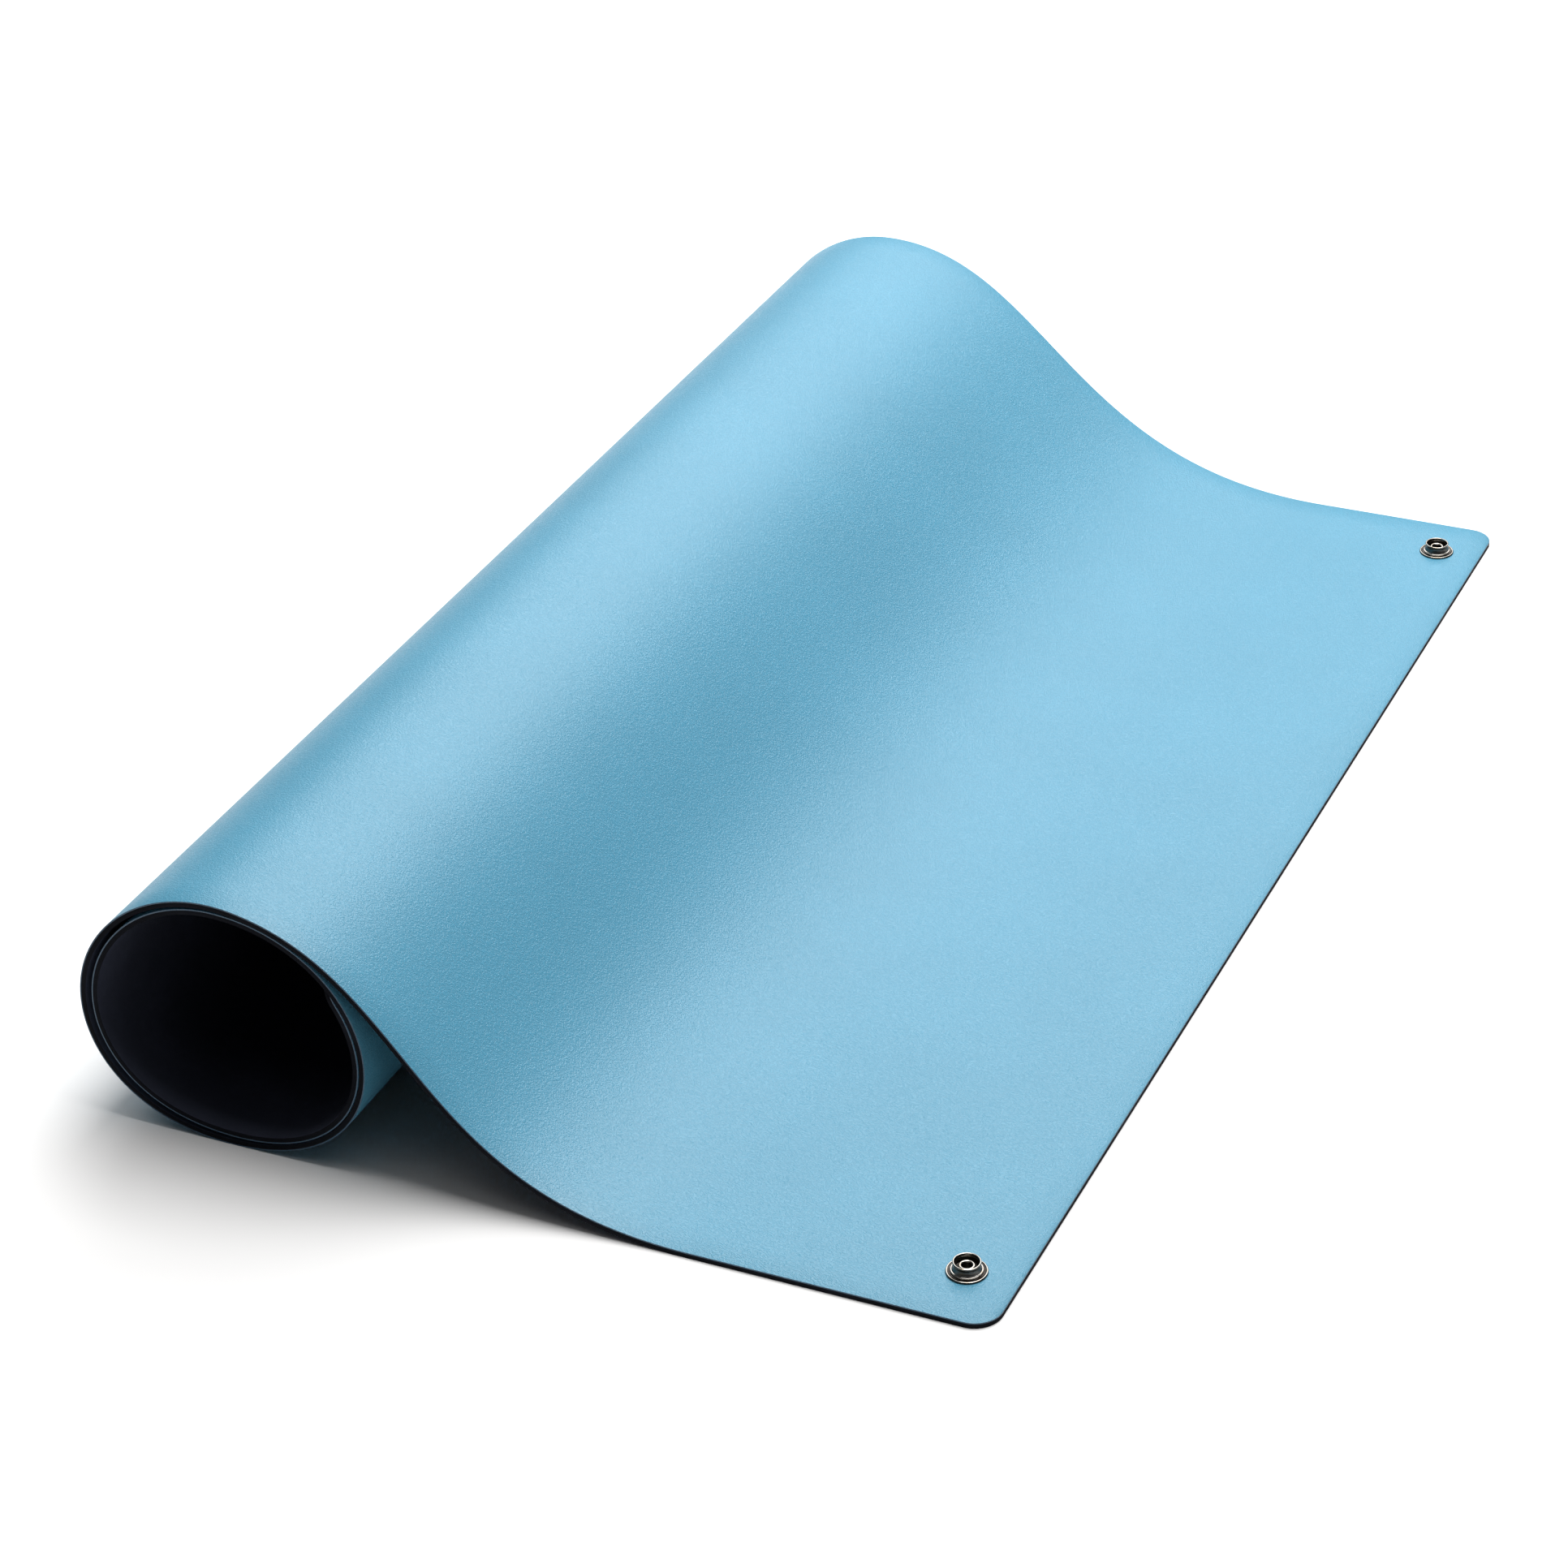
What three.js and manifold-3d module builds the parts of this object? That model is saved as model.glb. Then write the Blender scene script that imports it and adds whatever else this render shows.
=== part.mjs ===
// Anti-static bench mat: one rubber sheet of two bonded layers, with a snap stud at two corners.
// The mat lies with one short end flat, rises over a bridge and is rolled up loosely behind it.
// Millimetres. X runs along the mat towards its flat end, Y across its width, Z up from the bench.

import * as THREE from 'three';
import { mergeVertices } from 'three/addons/utils/BufferGeometryUtils.js';
import Module from 'manifold-3d';

// Sheet, cut flat
const MAT_LENGTH = 900;
const MAT_WIDTH = 600;
const TOP_LAYER = 0.5;
const BASE_LAYER = 1.7;
const CORNER_RADIUS = 10;

// How the sheet lies along each long edge: flat stretch, then a bridge with a soft bend at each end.
// The bends are the handles of one cubic curve, and liftOff is where it leaves the roll, in degrees.
const FRONT_LIE = { flat: 108.2, lowBend: 105.7, highBend: 70.6, liftOff: 79.7 };
const BACK_LIE = { flat: 79, lowBend: 119.2, highBend: 74.3, liftOff: 90.4 };

// Roll, measured to the middle of the sheet's thickness
const ROLL_SETBACK = 283.7;
const ROLL_RADIUS = 51.6;
const ROLL_FLATTENING = 3.3;
const ROLL_SAG = 1.9;
const TURN_GAP = 0.3;
const TURN_SLACK = 2.4;
const TIGHT_SIDE = 20;
const TUCK_END = 450;
const TUCK_SWEEP = 70;
const TANGENT_STEP = 0.01;

// Snap studs, at the two corners of the flat end
const STUD_FROM_END = 18.8;
const STUD_FROM_SIDE = 25.4;
const FLANGE_RADIUS = 7.2;
const FLANGE_THICKNESS = 0.8;
const FLANGE_GROOVE = 0.25;
const STEP_RADIUS = 5.65;
const STEP_HEIGHT = 1.3;
const FOOT_RADIUS = 5.05;
const WAIST_RADIUS = 4.5;
const LIP_RADIUS = 4.95;
const LIP_ROLL = 0.38;
const STUD_HEIGHT = 4.4;
const CUP_FLOOR = 1.3;
const CUP_FLOOR_RADIUS = 3.6;

// Rivet that clinches each stud: a flush head below, a shank, and a collar rolled over in the cup
const RIVET_HEAD_RADIUS = 5.5;
const RIVET_HEAD_THICKNESS = 0.6;
const SHANK_RADIUS = 2.2;
const SHANK_CLEARANCE = 0.2;
const COLLAR_RADIUS = 2.95;
const COLLAR_BORE = 1.75;
const COLLAR_DROP = 1.4;
const COLLAR_CLEARANCE = 0.05;
const RIVET_FLOOR = 1.2;

// Fineness of the faceting
const SHEET_STEP = 3;
const CORNER_STEPS = 5;
const TURNED_SIDES = 40;
const ROUNDING_STEPS = 4;

const SHEET = TOP_LAYER + BASE_LAYER;
const HALF_SHEET = SHEET / 2;
const LAYER_FACE = HALF_SHEET - TOP_LAYER;
const ROLL_CENTRE_HEIGHT = HALF_SHEET + ROLL_RADIUS - ROLL_FLATTENING;
const TURN_PITCH = SHEET + TURN_GAP;
const TURN = 360;
const radians = THREE.MathUtils.degToRad;

// Outermost turn: wider than it is tall, with its widest place sagged below the middle
function outerTurnRadius(angle) {
  const a = radians(angle);
  return ROLL_RADIUS + ROLL_FLATTENING * Math.cos(2 * a) - ROLL_SAG * Math.sin(2 * a) * Math.cos(a);
}

// Step from one turn to the next: tight on the bridge's side and slack across from it
function turnSpacing(angle) {
  return TURN_PITCH + TURN_SLACK * Math.sin(radians((angle - TIGHT_SIDE) / 2)) ** 4;
}

// How far inside the outermost turn the sheet lies once it has been wound round to this angle
function woundIn(angle) {
  if (angle <= TUCK_END) {
    const tucked = THREE.MathUtils.smoothstep(angle, TUCK_END - TUCK_SWEEP, TUCK_END);
    return turnSpacing(TUCK_END) * tucked;
  }
  return woundIn(angle - TURN) + turnSpacing(angle);
}

function rollPoint(angle) {
  const radius = outerTurnRadius(angle) - woundIn(angle);
  const a = radians(angle);
  return new THREE.Vector2(
    -ROLL_SETBACK + radius * Math.cos(a),
    ROLL_CENTRE_HEIGHT + radius * Math.sin(a),
  );
}

// Rolled stretch of the sheet, from where it meets the bridge to its inner end
class RollCurve extends THREE.Curve {
  constructor(startAngle, endAngle) {
    super();
    this.startAngle = startAngle;
    this.endAngle = endAngle;
    this.arcLengthDivisions = Math.ceil(endAngle - startAngle);
  }

  getPoint(t, target = new THREE.Vector2()) {
    return target.copy(rollPoint(THREE.MathUtils.lerp(this.startAngle, this.endAngle, t)));
  }
}

// Angle at which a sheet wound on from startAngle has used up the given length
function windUp(startAngle, length) {
  const winding = 0.25;
  let angle = startAngle;
  let wound = 0;
  let last = rollPoint(angle);
  while (wound < length) {
    angle += winding;
    const next = rollPoint(angle);
    wound += next.distanceTo(last);
    last = next;
  }
  return angle;
}

// Middle line of the sheet along one long edge, in the X-Z plane, with the flat end at X = 0
function layOut(lie) {
  const liftPoint = rollPoint(lie.liftOff);
  const before = rollPoint(lie.liftOff - TANGENT_STEP);
  const along = before.sub(rollPoint(lie.liftOff + TANGENT_STEP)).normalize();
  const flatEnd = new THREE.Vector2(0, HALF_SHEET);
  const flatStart = new THREE.Vector2(-lie.flat, HALF_SHEET);
  const lowHandle = new THREE.Vector2(-lie.flat - lie.lowBend, HALF_SHEET);
  const highHandle = liftPoint.clone().addScaledVector(along, lie.highBend);
  const bridge = new THREE.CubicBezierCurve(flatStart, lowHandle, highHandle, liftPoint);
  const rolled = MAT_LENGTH - lie.flat - bridge.getLength();
  const path = new THREE.CurvePath();
  path.add(new THREE.LineCurve(flatEnd, flatStart));
  path.add(bridge);
  path.add(new RollCurve(lie.liftOff, windUp(lie.liftOff, rolled)));
  return path;
}

// Places along the sheet where its faces are divided, closer together round the cut corners
function divideLength() {
  const flat = Math.min(FRONT_LIE.flat, BACK_LIE.flat);
  const corner = [];
  for (let i = 0; i <= CORNER_STEPS; i += 1) {
    corner.push(CORNER_RADIUS * (1 - Math.cos((Math.PI / 2) * (i / CORNER_STEPS))));
  }
  const innerCorner = corner.map((distance) => MAT_LENGTH - distance).reverse();
  const places = [...corner, flat];
  const count = Math.round((innerCorner[0] - flat) / SHEET_STEP);
  for (let i = 1; i < count; i += 1) {
    places.push(THREE.MathUtils.lerp(flat, innerCorner[0], i / count));
  }
  return [...places, ...innerCorner];
}

// How far the cut corners draw the long edges in, at a distance from the nearer end
function cornerInset(distanceFromEnd) {
  const reach = Math.max(CORNER_RADIUS - distanceFromEnd, 0);
  return CORNER_RADIUS - Math.sqrt(CORNER_RADIUS ** 2 - reach ** 2);
}

const PLACES = divideLength();

// The middle line's points and upward normals at every place along one long edge
function traceEdge(lie) {
  const path = layOut(lie);
  const total = path.getLength();
  return PLACES.map((place) => {
    const u = Math.min(place / total, 1);
    const tangent = path.getTangentAt(u);
    return { point: path.getPointAt(u), normal: new THREE.Vector2(tangent.y, -tangent.x) };
  });
}

const FRONT_EDGE = traceEdge(FRONT_LIE);
const BACK_EDGE = traceEdge(BACK_LIE);

// Point of the lying mat: which place along it, how far across it, how far above its middle
function lieOnBench(index, across, above) {
  const share = across / MAT_WIDTH;
  const point = FRONT_EDGE[index].point.clone().lerp(BACK_EDGE[index].point, share);
  const normal = FRONT_EDGE[index].normal.clone().lerp(BACK_EDGE[index].normal, share).normalize();
  point.addScaledVector(normal, above);
  return new THREE.Vector3(point.x, across, point.y);
}

function mergedPoints(geometry) {
  geometry.deleteAttribute('normal');
  geometry.deleteAttribute('uv');
  return mergeVertices(geometry, 1e-5);
}

// A layer's lower squares are split along the same diagonals as its upper ones, so that the
// upper face of the base layer and the lower face of the top layer are one and the same surface
function matchDiagonals(geometry) {
  const lower = geometry.groups[3];
  const index = geometry.index;
  for (let i = lower.start; i < lower.start + lower.count; i += 6) {
    const [a, b, d, c] = [index.getX(i), index.getX(i + 1), index.getX(i + 2), index.getX(i + 4)];
    [a, b, c, a, c, d].forEach((corner, k) => index.setX(i + k, corner));
  }
}

// One layer of the sheet, between two heights above the sheet's middle
function layerGeometry(lowFace, highFace) {
  const steps = PLACES.length - 1;
  const geometry = new THREE.BoxGeometry(1, 1, 1, steps, 1, 1);
  matchDiagonals(geometry);
  const position = geometry.attributes.position;
  for (let i = 0; i < position.count; i += 1) {
    const index = Math.round((position.getX(i) + 0.5) * steps);
    const inset = cornerInset(Math.min(PLACES[index], MAT_LENGTH - PLACES[index]));
    const across = position.getZ(i) < 0 ? inset : MAT_WIDTH - inset;
    const above = position.getY(i) < 0 ? lowFace : highFace;
    position.setXYZ(i, ...lieOnBench(index, across, above).toArray());
  }
  return mergedPoints(geometry);
}

// Turned piece round the Z axis from its profile of [radius, height] points
function turnedGeometry(profile) {
  const points = profile.map(([radius, height]) => new THREE.Vector2(radius, height));
  const geometry = new THREE.LatheGeometry(points, TURNED_SIDES);
  geometry.rotateX(Math.PI / 2);
  return mergedPoints(geometry);
}

// Quarter-round stretches of a profile, from one angle to another round a centre
function rounding(radius, height, size, fromAngle, toAngle) {
  const points = [];
  for (let i = 0; i <= ROUNDING_STEPS; i += 1) {
    const a = radians(THREE.MathUtils.lerp(fromAngle, toAngle, i / ROUNDING_STEPS));
    points.push([radius + size * Math.cos(a), height + size * Math.sin(a)]);
  }
  return points;
}

// Pressed stud: grooved flange, stepped foot, waisted post and an open cup with a rolled lip.
// Heights are above the mat's upper face.
function studProfile() {
  const bore = SHANK_RADIUS + SHANK_CLEARANCE;
  const edge = FLANGE_THICKNESS / 2;
  const grooveFloor = FLANGE_THICKNESS - FLANGE_GROOVE;
  const waistHeight = (STEP_HEIGHT + STUD_HEIGHT) / 2;
  return [
    [bore, 0],
    [FLANGE_RADIUS - edge / 2, 0],
    ...rounding(FLANGE_RADIUS - edge, edge, edge, -30, 90),
    [STEP_RADIUS + FLANGE_GROOVE * 2, grooveFloor],
    [STEP_RADIUS + FLANGE_GROOVE / 2, grooveFloor],
    [STEP_RADIUS, STEP_HEIGHT - FLANGE_GROOVE],
    [STEP_RADIUS - FLANGE_GROOVE, STEP_HEIGHT],
    [FOOT_RADIUS, STEP_HEIGHT],
    [FOOT_RADIUS - FLANGE_GROOVE / 2, STEP_HEIGHT + FLANGE_GROOVE * 2],
    [WAIST_RADIUS, waistHeight - FLANGE_GROOVE],
    [WAIST_RADIUS, waistHeight + FLANGE_GROOVE],
    ...rounding(LIP_RADIUS - LIP_ROLL, STUD_HEIGHT - LIP_ROLL, LIP_ROLL, -45, 180),
    [LIP_RADIUS - 2 * LIP_ROLL - FLANGE_GROOVE / 2, waistHeight],
    [CUP_FLOOR_RADIUS, CUP_FLOOR],
    [bore, CUP_FLOOR],
    [bore, 0],
  ];
}

// Semi-tubular rivet: heights are above the mat's underside
function rivetProfile() {
  const cupFloor = SHEET + CUP_FLOOR + COLLAR_CLEARANCE;
  const collarTop = SHEET + STUD_HEIGHT - COLLAR_DROP;
  const collarRoll = (COLLAR_RADIUS - COLLAR_BORE) / 2;
  return [
    [0, 0],
    [RIVET_HEAD_RADIUS, 0],
    [RIVET_HEAD_RADIUS, RIVET_HEAD_THICKNESS],
    [SHANK_RADIUS, RIVET_HEAD_THICKNESS],
    [SHANK_RADIUS, cupFloor],
    [COLLAR_RADIUS, cupFloor],
    ...rounding(COLLAR_RADIUS - collarRoll, collarTop - collarRoll, collarRoll, 0, 180),
    [COLLAR_BORE - COLLAR_CLEARANCE, RIVET_FLOOR + SHANK_CLEARANCE],
    [COLLAR_BORE / 2, RIVET_FLOOR],
    [0, RIVET_FLOOR],
  ];
}

// Hole that one rivet needs in the sheet: a clearance hole, with a recess for the flush head
function rivetHoleProfile() {
  const hole = SHANK_RADIUS + SHANK_CLEARANCE;
  const recess = RIVET_HEAD_RADIUS + SHANK_CLEARANCE;
  return [
    [0, -SHEET],
    [recess, -SHEET],
    [recess, RIVET_HEAD_THICKNESS],
    [hole, RIVET_HEAD_THICKNESS],
    [hole, 2 * SHEET],
    [0, 2 * SHEET],
  ];
}

const wasm = await Module();
wasm.setup();

function solidOf(geometry) {
  const vertProperties = new Float32Array(geometry.attributes.position.array);
  const triVerts = new Uint32Array(geometry.index.array);
  return new wasm.Manifold(new wasm.Mesh({ numProp: 3, vertProperties, triVerts }));
}

function geometryOf(solid) {
  const { vertProperties, triVerts } = solid.getMesh();
  const geometry = new THREE.BufferGeometry();
  geometry.setAttribute('position', new THREE.BufferAttribute(vertProperties, 3));
  geometry.setIndex(new THREE.BufferAttribute(triVerts, 1));
  return geometry;
}

const STUDS = [
  { name: 'front', x: -STUD_FROM_END, y: STUD_FROM_SIDE },
  { name: 'back', x: -STUD_FROM_END, y: MAT_WIDTH - STUD_FROM_SIDE },
];

function layerWithHoles(lowFace, highFace) {
  let solid = solidOf(layerGeometry(lowFace, highFace));
  STUDS.forEach(({ x, y }) => {
    const hole = turnedGeometry(rivetHoleProfile()).translate(x, y, 0);
    solid = solid.subtract(solidOf(hole));
  });
  return geometryOf(solid);
}

const blueRubber = new THREE.MeshStandardMaterial({ color: 0x8cc6e2, roughness: 0.55, metalness: 0 });
const blackRubber = new THREE.MeshStandardMaterial({ color: 0x16181c, roughness: 0.8, metalness: 0 });
const nickel = new THREE.MeshStandardMaterial({ color: 0xc9c6c0, roughness: 0.22, metalness: 1 });

function namedMesh(name, geometry, material) {
  const mesh = new THREE.Mesh(geometry, material);
  mesh.name = name;
  return mesh;
}

const mat = new THREE.Group();
mat.add(namedMesh('mat_top_layer', layerWithHoles(LAYER_FACE, HALF_SHEET), blueRubber));
mat.add(namedMesh('mat_base_layer', layerWithHoles(-HALF_SHEET, LAYER_FACE), blackRubber));

STUDS.forEach(({ name, x, y }) => {
  const stud = namedMesh(`${name}_snap_stud`, turnedGeometry(studProfile()), nickel);
  stud.position.set(x, y, SHEET);
  const rivet = namedMesh(`${name}_snap_rivet`, turnedGeometry(rivetProfile()), nickel);
  rivet.position.set(x, y, 0);
  mat.add(stud, rivet);
});

// The origin is on the bench, under the middle of the lying mat
const extent = new THREE.Box3().setFromObject(mat);
mat.position.set(-(extent.min.x + extent.max.x) / 2, -MAT_WIDTH / 2, 0);

export default mat;
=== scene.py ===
# Anti-static bench mat: a thin blue layer bonded to a black one, lying flat at one end and rolled
# up loosely at the other, with a snap stud riveted through each flat corner.
# Lengths are metres. X runs towards the flat end, Y across the mat, Z up from the bench.

import math

import bpy
from bpy.props import FloatProperty, FloatVectorProperty, IntProperty, PointerProperty
from mathutils import Matrix, Vector


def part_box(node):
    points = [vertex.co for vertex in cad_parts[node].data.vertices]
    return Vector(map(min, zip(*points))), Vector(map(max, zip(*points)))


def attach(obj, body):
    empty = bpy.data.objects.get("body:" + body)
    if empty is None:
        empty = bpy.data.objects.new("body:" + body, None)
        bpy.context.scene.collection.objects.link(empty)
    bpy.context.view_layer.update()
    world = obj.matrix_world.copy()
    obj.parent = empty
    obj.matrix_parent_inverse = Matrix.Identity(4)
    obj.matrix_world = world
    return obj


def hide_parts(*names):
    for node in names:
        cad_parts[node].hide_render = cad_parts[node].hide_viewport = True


bl_info = {
    "name": "Anti-Static Bench Mat",
    "version": (1, 0, 0),
    "blender": (4, 5, 0),
    "location": "3D View > Sidebar > Bench Mat",
    "description": "Lays out, rolls and finishes a two-layer rubber bench mat with snap studs",
    "category": "Add Mesh",
}

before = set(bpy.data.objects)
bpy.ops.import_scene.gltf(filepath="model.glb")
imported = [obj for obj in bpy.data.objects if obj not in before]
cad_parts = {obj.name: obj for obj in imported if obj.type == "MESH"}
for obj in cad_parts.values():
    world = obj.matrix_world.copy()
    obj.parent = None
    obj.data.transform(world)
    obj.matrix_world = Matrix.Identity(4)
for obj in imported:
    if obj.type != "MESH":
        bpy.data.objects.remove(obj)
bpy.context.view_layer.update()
MM = 0.001
TURN = 2 * math.pi
FLOOR_SIZE = 12.0
WELD_DISTANCE = 0.001 * MM

# Angles between faces, in degrees, past which an edge is bevelled or stays sharp
BEVELLED_PAST = 50
LAYER_SHARP_PAST = 40
METAL_SHARP_PAST = 38

TOP_LOW, TOP_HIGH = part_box("mat_top_layer")
STUD_LOW, STUD_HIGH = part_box("front_snap_stud")
MAT_WIDTH = TOP_HIGH.y - TOP_LOW.y
FLAT_END = TOP_HIGH.x


# Properties


def length(name, description, default, **limits):
    return FloatProperty(
        name=name,
        description=description,
        default=default,
        subtype="DISTANCE",
        unit="LENGTH",
        precision=5,
        **limits,
    )


def degrees(name, description, default):
    return FloatProperty(
        name=name,
        description=description,
        default=math.radians(default),
        subtype="ANGLE",
        unit="ROTATION",
    )


def colour(name, description, default):
    return FloatVectorProperty(
        name=name,
        description=description,
        default=default,
        size=3,
        subtype="COLOR",
        min=0.0,
        max=1.0,
    )


class BENCHMAT_PG_sheet(bpy.types.PropertyGroup):
    """The sheet, as it was cut flat."""

    long: length("Length", "Length of the sheet before it is rolled", 0.9)
    wide: length("Width", "Width of the sheet", MAT_WIDTH)
    top_layer: length("Top layer", "Thickness of the blue layer", 0.5 * MM)
    base_layer: length("Base layer", "Thickness of the black layer", 1.7 * MM)
    corner: length("Corner radius", "Radius that the corners are cut to", 10 * MM)
    edge_round: length("Edge rounding", "Softness of the cut edges", 0.12 * MM)
    steps_along: IntProperty(
        name="Steps along", description="Divisions along the sheet", default=480, min=60
    )
    steps_across: IntProperty(
        name="Steps across", description="Divisions across the sheet", default=48, min=8
    )


class BENCHMAT_PG_lie(bpy.types.PropertyGroup):
    """How one long edge lies: flat, then a bridge with a soft bend at each end."""

    flat: length("Flat stretch", "Length that lies flat on the bench", 108.2 * MM)
    low_bend: length("Low bend", "Softness of the bend that leaves the bench", 105.7 * MM)
    high_bend: length("High bend", "Softness of the bend that leaves the roll", 70.6 * MM)
    lift_off: degrees("Lift-off", "Angle on the roll where the bridge leaves it", 79.7)


class BENCHMAT_PG_roll(bpy.types.PropertyGroup):
    """The loose roll, measured to the middle of the sheet's thickness."""

    setback: length("Setback", "From the flat end to the roll's middle", 283.7 * MM)
    radius: length("Radius", "Mean radius of the outer turn", 51.6 * MM)
    flattening: length("Flattening", "How far the roll is squashed by its weight", 3.3 * MM)
    sag: length("Sag", "How far the widest place sags below the middle", 1.9 * MM)
    turn_gap: length("Turn gap", "Least gap between two turns", 0.3 * MM)
    turn_slack: length("Turn slack", "Extra gap on the slack side", 2.4 * MM)
    tight_side: degrees("Tight side", "Angle where the turns lie closest", 20)
    tuck_end: degrees("Tuck end", "Angle where the sheet lies inside the outer turn", 450)
    tuck_sweep: degrees("Tuck sweep", "Angle over which it moves inside", 70)


class BENCHMAT_PG_stud(bpy.types.PropertyGroup):
    """A snap stud and the rivet that clinches it."""

    from_end: length("From the end", "Stud's middle to the flat end", 18.8 * MM)
    from_side: length("From the side", "Stud's middle to the long edge", 25.4 * MM)
    flange: length("Flange radius", "Radius of the flange", 7.2 * MM)
    flange_thick: length("Flange thickness", "Thickness of the flange", 0.8 * MM)
    groove: length("Groove", "Depth of the groove inside the flange's rim", 0.3 * MM)
    step: length("Step radius", "Radius of the raised step", 5.65 * MM)
    step_height: length("Step height", "Height of the step", 1.3 * MM)
    foot: length("Foot radius", "Radius of the post's foot", 5.05 * MM)
    waist: length("Waist radius", "Radius of the post's waist", 4.5 * MM)
    lip: length("Lip radius", "Radius of the rolled lip", 4.95 * MM)
    lip_roll: length("Lip roll", "Radius of the lip's own rounding", 0.38 * MM)
    height: length("Height", "Height of the stud above the mat", STUD_HIGH.z - STUD_LOW.z)
    cup_floor: length("Cup floor", "Height of the cup's floor above the mat", 1.3 * MM)
    cup_floor_radius: length("Cup floor radius", "Radius of the cup's floor", 3.6 * MM)
    head: length("Head radius", "Radius of the rivet's head", 5.5 * MM)
    head_thick: length("Head thickness", "Thickness of the rivet's head", 0.6 * MM)
    shank: length("Shank radius", "Radius of the rivet's shank", 2.2 * MM)
    clearance: length("Clearance", "Room round the shank and the head", 0.2 * MM)
    collar: length("Collar radius", "Radius of the rolled collar", 2.95 * MM)
    bore: length("Bore radius", "Radius of the hole in the collar", 1.75 * MM)
    collar_drop: length("Collar drop", "Collar's top below the lip", 1.4 * MM)
    rivet_floor: length("Rivet floor", "Height of the bore's floor above the bench", 1.2 * MM)
    sides: IntProperty(name="Sides", description="Steps of the spin", default=96, min=24)


class BENCHMAT_PG_finish(bpy.types.PropertyGroup):
    """Colours and grain."""

    blue: colour("Blue rubber", "Working face", (0.062, 0.244, 0.36))
    # Painted shade: the base's cut edges are kept far darker than its moulded face.
    black: colour("Black rubber", "Cut edge of the base", (0.006, 0.0068, 0.0095))
    # Painted light: the moulded face is lifted to a pale blue-black, for the light that falls into
    # the roll's bore.
    black_face_painted_light: colour("Black underside", "Moulded face of the base", (0.032, 0.036, 0.054))
    # Painted shade: the blue layer's cut edge is coloured dark navy instead of the face's blue.
    shaded_cut_blue: colour("Cut blue edge", "Edge where the blue layer was cut", (0.01, 0.058, 0.112))
    nickel: colour("Nickel", "Plated studs", (0.34, 0.325, 0.3))
    # Partly a real dull film, partly painted shade in the studs' hollows, round the waist and along
    # the flange's lower rim.
    oxide_and_painted_shade: colour("Oxide", "Dull film in the studs' recesses", (0.022, 0.017, 0.014))
    grain_size: length("Grain size", "Distance from one crease to the next", 1.5 * MM)
    grain_depth: length("Grain depth", "Depth of the leather grain", 0.07 * MM)


class BENCHMAT_PG_stage(bpy.types.PropertyGroup):
    """Camera and light."""

    eye: FloatVectorProperty(
        name="Eye",
        description="Where the camera stands",
        default=(0.562934, -1.301601, 0.848053),
        subtype="TRANSLATION",
        unit="LENGTH",
    )
    down: degrees("Down", "How far the camera looks down", 30.714)
    left: degrees("Left", "How far it is turned from +Y towards -X", 24.728)
    roll: degrees("Roll", "How far the picture is turned", -1.7248)
    lens: FloatProperty(
        name="Lens",
        description="Focal length for a 36 mm wide sensor, in millimetres",
        default=96.08,
    )
    floor: colour("Floor", "Pale floor", (0.82, 0.815, 0.81))
    surroundings: FloatProperty(
        name="Surroundings", description="Strength of the even light all round", default=0.04, min=0.0
    )


class BENCHMAT_PG_settings(bpy.types.PropertyGroup):
    """Everything that a user would change."""

    sheet: PointerProperty(type=BENCHMAT_PG_sheet)
    front: PointerProperty(type=BENCHMAT_PG_lie)
    back: PointerProperty(type=BENCHMAT_PG_lie)
    roll: PointerProperty(type=BENCHMAT_PG_roll)
    stud: PointerProperty(type=BENCHMAT_PG_stud)
    finish: PointerProperty(type=BENCHMAT_PG_finish)
    stage: PointerProperty(type=BENCHMAT_PG_stage)


# The far edge leaves the bench sooner, and rises more gently, than the near one
BACK_LIE = {
    "flat": 79.0 * MM,
    "low_bend": 119.2 * MM,
    "high_bend": 74.3 * MM,
    "lift_off": math.radians(90.4),
}


def settings():
    return bpy.context.scene.bench_mat


# How the sheet lies


def smoothstep(value, low, high):
    t = min(max((value - low) / (high - low), 0.0), 1.0)
    return t * t * (3 - 2 * t)


class Roll:
    """The roll's spiral, by the angle that the sheet has been wound round to."""

    def __init__(self, roll, sheet):
        self.roll = roll
        self.thickness = sheet.top_layer + sheet.base_layer
        half = self.thickness / 2
        self.centre = Vector((-roll.setback, half + roll.radius - roll.flattening))

    def outer_radius(self, angle):
        flat = self.roll.flattening * math.cos(2 * angle)
        sag = self.roll.sag * math.sin(2 * angle) * math.cos(angle)
        return self.roll.radius + flat - sag

    def spacing(self, angle):
        slack = math.sin((angle - self.roll.tight_side) / 2) ** 4
        return self.thickness + self.roll.turn_gap + self.roll.turn_slack * slack

    def wound_in(self, angle):
        end = self.roll.tuck_end
        if angle <= end:
            return self.spacing(end) * smoothstep(angle, end - self.roll.tuck_sweep, end)
        return self.wound_in(angle - TURN) + self.spacing(angle)

    def point(self, angle):
        radius = self.outer_radius(angle) - self.wound_in(angle)
        return self.centre + radius * Vector((math.cos(angle), math.sin(angle)))


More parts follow.
